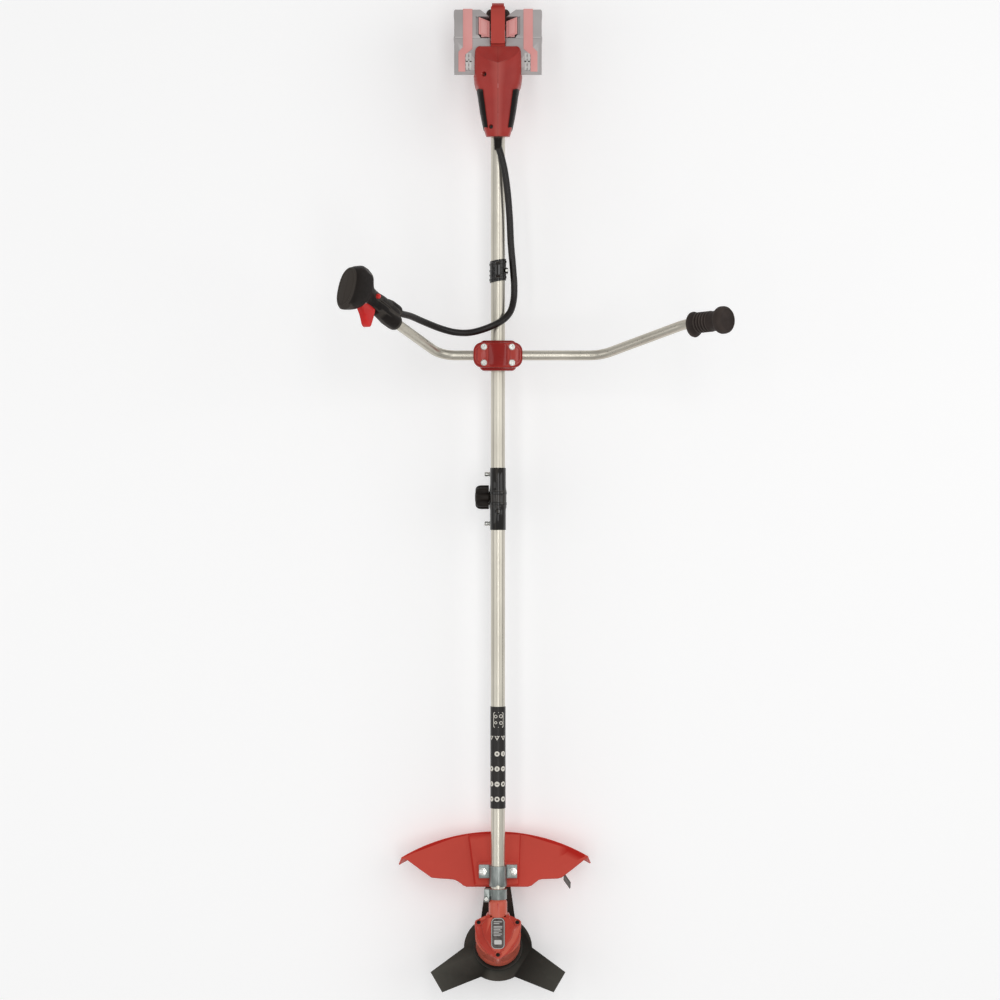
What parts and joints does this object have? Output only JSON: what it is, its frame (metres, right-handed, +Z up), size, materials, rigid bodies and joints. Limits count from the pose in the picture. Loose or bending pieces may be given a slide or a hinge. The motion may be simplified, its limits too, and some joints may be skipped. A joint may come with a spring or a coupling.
{
  "type": "cordless brushcutter",
  "caption": "Cordless brushcutter with a bicycle handlebar, a split shaft, a red guard and a head motor that turns a three-tooth blade.",
  "frame": {"origin": "middle of the rear foot's sole, on the ground below the shaft", "axes": "+Y along the shaft from the blade to the batteries, +Z up, +X to the plain grip"},
  "size_m": [0.6656, 1.7636, 0.3867],
  "materials": {
    "tube": "satin",
    "inner_plastic": "matte",
    "housing_red": "satin",
    "soft_black": "matte",
    "bright_steel": "bright zinc",
    "circuit": "matte",
    "battery_case": "matte",
    "battery_accent": "satin",
    "gloss_black": "glossy",
    "clamp_red": "glossy paint",
    "grip_rubber": "matte",
    "grip_black": "fine texture",
    "control_red": "satin",
    "cable_black": "satin",
    "guard_red": "satin",
    "zinc_steel": "zinc plated",
    "motor_red": "satin paint",
    "copper_winding": "satin",
    "dark_steel": "blackened"
  },
  "bodies": {
    "frame": {"upper_tube": "tube", "upper_wiring": "inner_plastic", "housing_shell_left": "housing_red", "housing_shell_right": "housing_red", "side_pad_left": "soft_black", "side_pad_right": "soft_black", "housing_screw_rear": "bright_steel", "housing_screw_front": "bright_steel", "control_board": "circuit", "terminal_carrier": "inner_plastic", "cable_gland": "soft_black", "rear_stand": "housing_red", "rear_foot": "soft_black", "harness_clamp": "gloss_black", "harness_clamp_screw": "bright_steel", "clamp_cap": "clamp_red", "clamp_block": "clamp_red", "clamp_saddle": "clamp_red", "clamp_bolt_1": "bright_steel", "clamp_bolt_2": "bright_steel", "clamp_bolt_3": "bright_steel", "clamp_bolt_4": "bright_steel", "handlebar": "tube", "plain_grip": "grip_rubber", "grip_shell_left": "grip_black", "grip_shell_right": "grip_black", "switch_module": "inner_plastic", "trigger_pin": "bright_steel", "control_cable": "cable_black", "coupling_body": "gloss_black", "coupling_screw_upper": "bright_steel", "coupling_screw_lower": "bright_steel"},
    "battery_left_unit": {"battery_left": "battery_case"},
    "battery_right_unit": {"battery_right": "battery_case"},
    "battery_left_latch": {"battery_button_left": "battery_accent"},
    "battery_right_latch": {"battery_button_right": "battery_accent"},
    "trigger_lever": {"trigger": "control_red"},
    "lock_off": {"lock_off_button": "control_red"},
    "coupling_knob": {"clamp_knob": "grip_black"},
    "coupling_pin": {"lock_pin": "bright_steel"},
    "lower_unit": {"lower_tube": "tube", "lower_wiring": "inner_plastic", "label_sleeve": "gloss_black", "guard": "guard_red", "guard_bracket": "zinc_steel", "guard_screw_left": "bright_steel", "guard_screw_right": "bright_steel", "line_cutter": "bright_steel", "neck_clamp": "zinc_steel", "neck_clamp_screw": "bright_steel", "motor_housing": "motor_red", "motor_cover": "motor_red", "cover_screw_1": "bright_steel", "cover_screw_2": "bright_steel", "cover_screw_3": "bright_steel", "stator": "copper_winding"},
    "cutter": {"spindle": "dark_steel", "blade": "dark_steel", "cap_flange": "dark_steel", "blade_nut": "bright_steel"}
  },
  "joints": [
    {"name": "battery_left_slide", "type": "slide", "parent": "frame", "child": "battery_left_unit", "axis": [0, 1, 0], "range_m": [0, 0.11]},
    {"name": "battery_right_slide", "type": "slide", "parent": "frame", "child": "battery_right_unit", "axis": [0, 1, 0], "range_m": [0, 0.11]},
    {"name": "battery_left_release", "type": "slide", "parent": "battery_left_unit", "child": "battery_left_latch", "axis": [-1, 0, 0], "range_m": [0, 0.004], "stiffness_N_per_m": 900, "springref_m": -0.002},
    {"name": "battery_right_release", "type": "slide", "parent": "battery_right_unit", "child": "battery_right_latch", "axis": [1, 0, 0], "range_m": [0, 0.004], "stiffness_N_per_m": 900, "springref_m": -0.002},
    {"name": "trigger_pull", "type": "hinge", "parent": "frame", "child": "trigger_lever", "pos_m": [-0.22992, -0.5442, 0.34185], "axis": [0.8359, 0, 0.5489], "range_deg": [0, 12], "stiffness_Nm_per_rad": 0.6, "springref_deg": -8.59},
    {"name": "lock_off_press", "type": "slide", "parent": "frame", "child": "lock_off", "axis": [-0.8359, 0, -0.5489], "range_m": [0, 0.003], "stiffness_N_per_m": 500, "springref_m": -0.002},
    {"name": "coupling_knob_turn", "type": "hinge", "parent": "frame", "child": "coupling_knob", "pos_m": [-0.016, -0.869, 0.096], "axis": [-1, 0, 0], "range_deg": [0, 720]},
    {"name": "coupling_pin_pull", "type": "slide", "parent": "frame", "child": "coupling_pin", "axis": [0, 0, 1], "range_m": [0, 0.006], "stiffness_N_per_m": 600, "springref_m": -0.002},
    {"name": "lower_shaft_slide", "type": "slide", "parent": "frame", "child": "lower_unit", "axis": [0, -1, 0], "range_m": [0, 0.1]},
    {"name": "blade_spin", "type": "hinge", "parent": "lower_unit", "child": "cutter", "pos_m": [0, -1.6745, 0.07803], "axis": [0, 0.5, 0.866], "continuous": true}
  ]
}
